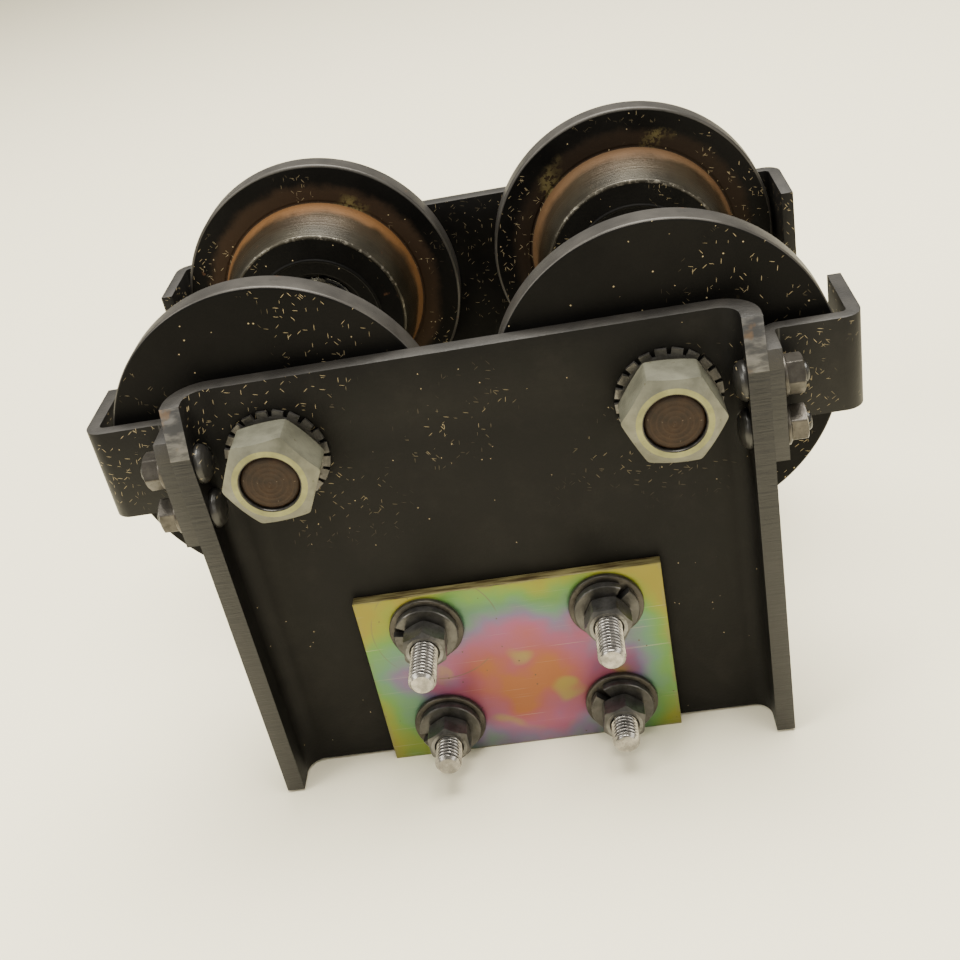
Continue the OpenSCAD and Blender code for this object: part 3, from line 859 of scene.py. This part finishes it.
def wheels():
    """Flanged wheels, lathe-turned, with rounded edges and a rolled bead on the hub."""
    outer, flange, hub, bead = 55.5, 9.9, 32.6, 33.2
    bearing_r, bore_r, bearing_end = 23.6, 19.0, 22.0
    edge = 0.7
    face, rim, tread = 0, 1, 2
    outline = [(bearing_r, 0, face), (outer - edge, 0, rim), (outer, edge, rim),
               (outer, flange - edge, rim), (outer - edge, flange, face), (41.4, flange, face),
               (40.9, 9.55, face), (40.3, 9.7, tread), (40.15, 10.5, tread),
               (34.9, hub - edge, tread), (34.0, hub, face), (25.7, hub, face),
               (25.4, bead, face), (24.7, bead, face), (24.4, hub, face),
               (bore_r + edge, hub, face), (bore_r, hub - edge, face),
               (bore_r, bearing_end, face), (bearing_r, bearing_end, face)]
    profile = [(r * MM, y * MM, tag) for r, y, tag in outline]
    for number, (end, side) in enumerate(CORNERS):
        name = f"{end}_{side}_wheel"
        seed = 0.37 * (number + 1)
        rust = {"front": 0.7, "rear": 1.0}[end] * {"left": 1.0, "right": 0.5}[side]
        materials = [wheel_black(name + "_black", seed, rust), turned_steel(name + "_rim"),
                     wheel_tread(name + "_tread", seed, rust)]
        piece = lathe(rounded(profile, 0.35 * MM), 240, name + "_turned", materials, 40)
        middle = centre(name)
        set_on(piece, end, (middle.x, outer_y(name, end), middle.z), turn=0.8 * number)
        stand_for(piece, name, name + "_body")


def axle_nut(end, corner, turn, materials):
    """A zinc-plated nut, set by its inner face and turned clockwise by turn degrees."""
    flats, height, bore, sink = 28.6 * MM, 16.3 * MM, 9.6 * MM, 0.5 * MM
    node = corner + "_axle_nut"
    middle = centre(corner + "_axle")
    piece = hex_nut(node + "_cut", flats, height, bore, sink, materials, 0.84, 27)
    flip_y(piece)
    set_on(piece, end, (middle.x, inner_y(node, end), middle.z), math.radians(-turn))
    stand_for(piece, node)


def tooth_washer(end, corner, steel):
    outer, body, inner, thick, teeth = 17.1 * MM, 14.9 * MM, 9.7 * MM, 1.8 * MM, 20
    node = corner + "_tooth_washer"
    middle = centre(corner + "_axle")
    piece = tooth_ring(node + "_twisted", outer, body, inner, thick, teeth, [steel])
    set_on(piece, end, (middle.x, outer_y(node, end), middle.z), 0.1)
    stand_for(piece, node)


def axle(end, corner, steel):
    """A stub axle with its collar behind the side plate, and a chamfer at each end."""
    r, collar_r = 9.4 * MM, 13.2 * MM
    nose_edge, tail_edge = 1.0 * MM, 0.8 * MM
    collar, bearing, tail = 9.65 * MM, 14 * MM, 3.05 * MM
    node = corner + "_axle"
    low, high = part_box(node)
    length = high.y - low.y
    seat = length - (collar + bearing + tail)
    profile = [(0, 0, 0), (r - nose_edge, 0, 0), (r, 0.7 * MM, 0), (r, seat, 0),
               (collar_r, seat, 0), (collar_r, seat + collar, 0), (r, seat + collar, 0),
               (r, length - tail_edge, 0), (r - tail_edge, length, 0), (0, length, 0)]
    piece = lathe(rounded(profile, 0.3 * MM), 96, node + "_turned", [steel], 35)
    close_ends(piece.data)
    middle = centre(node)
    set_on(piece, end, (middle.x, outer_y(node, end), middle.z))
    stand_for(piece, node)


def axle_hardware():
    """The axle nuts, the tooth washers under them and the axles."""
    nut_materials = [zinc("nut_zinc", 0.135, (1.0, 0.99, 0.74)),
                     zinc("nut_zinc_yellow", 0.19, (1.0, 0.98, 0.42)),
                     hard_steel("nut_bore", 0.05)]
    washer = hard_steel("tooth_washer_steel", 0.10, 0.34, 0.6)
    rust = rusty_end("axle_rust")
    turns = {("front", "left"): 5, ("front", "right"): -5, ("rear", "left"): 12,
             ("rear", "right"): -20}
    for end, side in CORNERS:
        corner = f"{end}_{side}"
        axle_nut(end, corner, turns[end, side], nut_materials)
        tooth_washer(end, corner, washer)
        axle(end, corner, rust)


def tie_rods(places):
    """Rods through both halves, threaded outside the lock washers. The lower two are shorter."""
    r, pitch, depth, tip = 4.7 * MM, 1.5875 * MM, 0.8 * MM, 1.2 * MM
    lower_short = 7 * MM
    # The second material paints shade into the thread roots.
    materials = [rod_steel("rod_steel"), hard_steel("thread_root_painted_shade", 0.035, 0.4, 0.5)]
    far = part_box("tie_rods")[1].y
    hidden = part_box("rear_lock_washers")[1].y
    top = places[0][1]
    rods = []
    for number, (x, z) in enumerate(places):
        reach = far if z == top else far - lower_short
        rod = threaded_bar(f"rod_{number}", r, -reach, reach, pitch, depth, tip, materials,
                           (-hidden, hidden))
        rod.data.transform(Matrix.Rotation(1.3 * number, 4, "Y"))
        rod.location = (x, 0, z)
        rods.append(rod)
    stand_for(joined(rods, "tie_rods_threaded"), "tie_rods")


def spacer_sleeves(places):
    outer, inner = 8.55 * MM, 6.25 * MM
    steel = black_paint("sleeve_black", 0.012, 0.3)
    low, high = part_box("spacer_sleeves")
    length = high.y - low.y
    profile = [(inner, 0, 0), (outer, 0, 0), (outer, length, 0), (inner, length, 0)]
    sleeves = []
    for number, (x, z) in enumerate(places):
        tube = lathe(rounded(profile, 0.5 * MM), 64, f"sleeve_{number}", [steel])
        tube.location = (x, low.y, z)
        sleeves.append(tube)
    stand_for(joined(sleeves, "spacer_sleeves_cut"), "spacer_sleeves")


def rod_part(kind, name, number, thick, steels):
    """One washer or nut of a rod's stack, and its turn about the rod."""
    lock_gaps = (160, 50, 190, 130)
    nut_turns = (25, 3, 32, 20)
    if kind == "flat_washers":
        inner, outer = 5.3 * MM, 13 * MM
        profile = [(inner, 0, 0), (outer, 0, 0), (outer, thick, 0), (inner, thick, 0)]
        return lathe(rounded(profile, 0.55 * MM), 96, name, steels), 0.0
    if kind == "lock_washers":
        gap, rise = 2.6 * MM, 0.5 * MM
        part = split_ring(name, 11.2 * MM, 5.2 * MM, thick, gap, rise, steels)
        return part, math.radians(-lock_gaps[number])
    flats, bore, sink = 14.3 * MM, 4.75 * MM, 0.5 * MM
    part = hex_nut(name, flats, thick, bore, sink, steels, 0.9, 30)
    return flip_y(part, thick), math.radians(-nut_turns[number])


def rod_stacks(places):
    """The flat washer, split lock washer and nut on each end of each rod."""
    lock = hard_steel("lock_washer_steel", 0.065, 0.28, 0.45, 1.04)
    steels = {"flat_washers": [hard_steel("washer_steel", 0.045, 0.36, 0.6, 1.12)],
              "lock_washers": [lock],
              "rod_nuts": [hard_steel("rod_nut_steel", 0.075, 0.30, 0.5, 1.03),
                           hard_steel("rod_nut_face", 0.16, 0.28, 0.5, 1.03), lock]}
    for end in ENDS:
        for kind in steels:
            node = f"{end}_{kind}"
            low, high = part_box(node)
            start = outer_y(node, end)
            parts = []
            for number, (x, z) in enumerate(places):
                part, turn = rod_part(kind, f"{node}_{number}", number, high.y - low.y,
                                      steels[kind])
                parts.append(set_on(part, end, (x, start, z), turn))
            stand_for(joined(parts, node + "_made"), node)


def guard_bolt(name, dome_r, length, steel):
    """A round head above Y 0 and a plain shank below it, as two closed shapes."""
    shank_r, tip_r, tip = 3.1 * MM, 2.5 * MM, 0.6 * MM
    dome = [(3.1, 0), (dome_r / MM - 0.25, 0), (dome_r / MM, 0.35), (6.45, 1.3), (5.7, 2.4),
            (4.5, 3.25), (3.0, 3.75), (1.5, 3.97), (0, 4.0), (0, -0.5)]
    head = [(r * MM, y * MM, 0) for r, y in dome]
    shank = [(0, 0.3 * MM, 0), (shank_r, 0.3 * MM, 0), (shank_r, tip - length, 0),
             (tip_r, -length, 0), (0, -length, 0)]
    shapes = []
    for kind, profile in (("head", head), ("shank", shank)):
        shape = lathe(rounded(profile, 0.25 * MM), 64, f"{kind}_{name}", [steel])
        close_ends(shape.data)
        shapes.append(shape)
    return shapes


def guard_nut(name, steels):
    """A hexagon nut and its round flange, as two closed shapes along +Y."""
    flats, height, bore, sink = 11.1 * MM, 6.6 * MM, 3.2 * MM, 0.4 * MM
    skirt = [(3.2, 0), (6.7, 0), (6.9, 0.3), (6.8, 1.1), (5.6, 1.7), (3.2, 1.7)]
    profile = rounded([(r * MM, y * MM, 0) for r, y in skirt], 0.2 * MM)
    return [hex_nut("nut_" + name, flats, height, bore, sink, steels),
            lathe(profile, 72, "skirt_" + name, steels)]


def guard_fasteners():
    """Round-headed bolts and flanged nuts that hold the guards."""
    bolt_black = black_paint("bolt_black", 0.014, 0.5, 0.24, 0.5)
    nut_steels = [hard_steel("guard_nut_grey", 0.07, 0.34, 0.45, 1.10),
                  hard_steel("guard_nut_face", 0.09, 0.34, 0.45, 1.10),
                  hard_steel("guard_nut_bore", 0.06)]
    for end in ENDS:
        node = end + "_guard_bolts"
        low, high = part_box(node)
        mid_y = (low.y + high.y) / 2
        dome_r = (high.y - low.y) / 2
        heights = (high.z - dome_r, low.z + dome_r)
        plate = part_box(end + "_side_plate")[1].x
        head_at, nut_at = plate - 6.05 * MM, plate + 4.4 * MM
        bolts, nuts = [], []
        for side in (-1, 1):
            for number, z in enumerate(heights):
                name = f"{side}_{number}"
                for part in guard_bolt(name, dome_r, high.x - head_at, bolt_black):
                    part.data.transform(Matrix.Rotation(math.radians(90 * side), 4, "Z"))
                    part.location = (side * head_at, mid_y, z)
                    bolts.append(part)
                for part in guard_nut(name, nut_steels):
                    part.data.transform(Matrix.Rotation(0.5 * number, 4, "Y"))
                    part.data.transform(Matrix.Rotation(math.radians(-90 * side), 4, "Z"))
                    part.location = (side * nut_at, mid_y, z)
                    nuts.append(part)
        stand_for(joined(bolts, node + "_made"), node)
        stand_for(joined(nuts, end + "_guard_nuts_made"), end + "_guard_nuts")


def pads():
    """The hanger pads, each with a scribed arc round its upper left rod."""
    rod_x, rod_z = rod_places()[0]
    rings = [(Vector((rod_x + 3 * MM, 0, rod_z - 1 * MM)), 22.5 * MM)]
    for end in ENDS:
        node = end + "_pad_plate"
        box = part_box(node)
        materials = [rainbow_zinc(end + "_rainbow_zinc", box, rings), pad_edge(end + "_pad_edge")]

        def tag(normal, middle):
            return 0 if abs(normal.y) > 0.9 else 1

        stand_for(eased_copy(node, 0.35 * MM, materials, tag), node)


def inner_parts():
    """Better finishes for the CAD nodes that stay: bearings, shields and retaining rings."""
    race = hard_steel("race_steel", 0.42, 0.2, 0.1, 1.0)
    ball = hard_steel("ball_steel", 0.5, 0.12, 0.0, 1.0)
    shield = black_paint("shield_black", 0.01, 0.4)
    ring = hard_steel("ring_steel", 0.10, 0.35, 0.5)
    finishes = {"bearing_outer": race, "bearing_inner": race, "bearing_balls": ball,
                "bearing_shields": shield, "retaining_ring": ring}
    for end, side in CORNERS:
        for kind, material in finishes.items():
            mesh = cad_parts[f"{end}_{side}_{kind}"].data
            mesh.materials.clear()
            mesh.materials.append(material)


camera()
studio()
side_plates()
guards()
wheels()
axle_hardware()
tie_rods(rod_places())
spacer_sleeves(rod_places())
rod_stacks(rod_places())
guard_fasteners()
pads()
inner_parts()
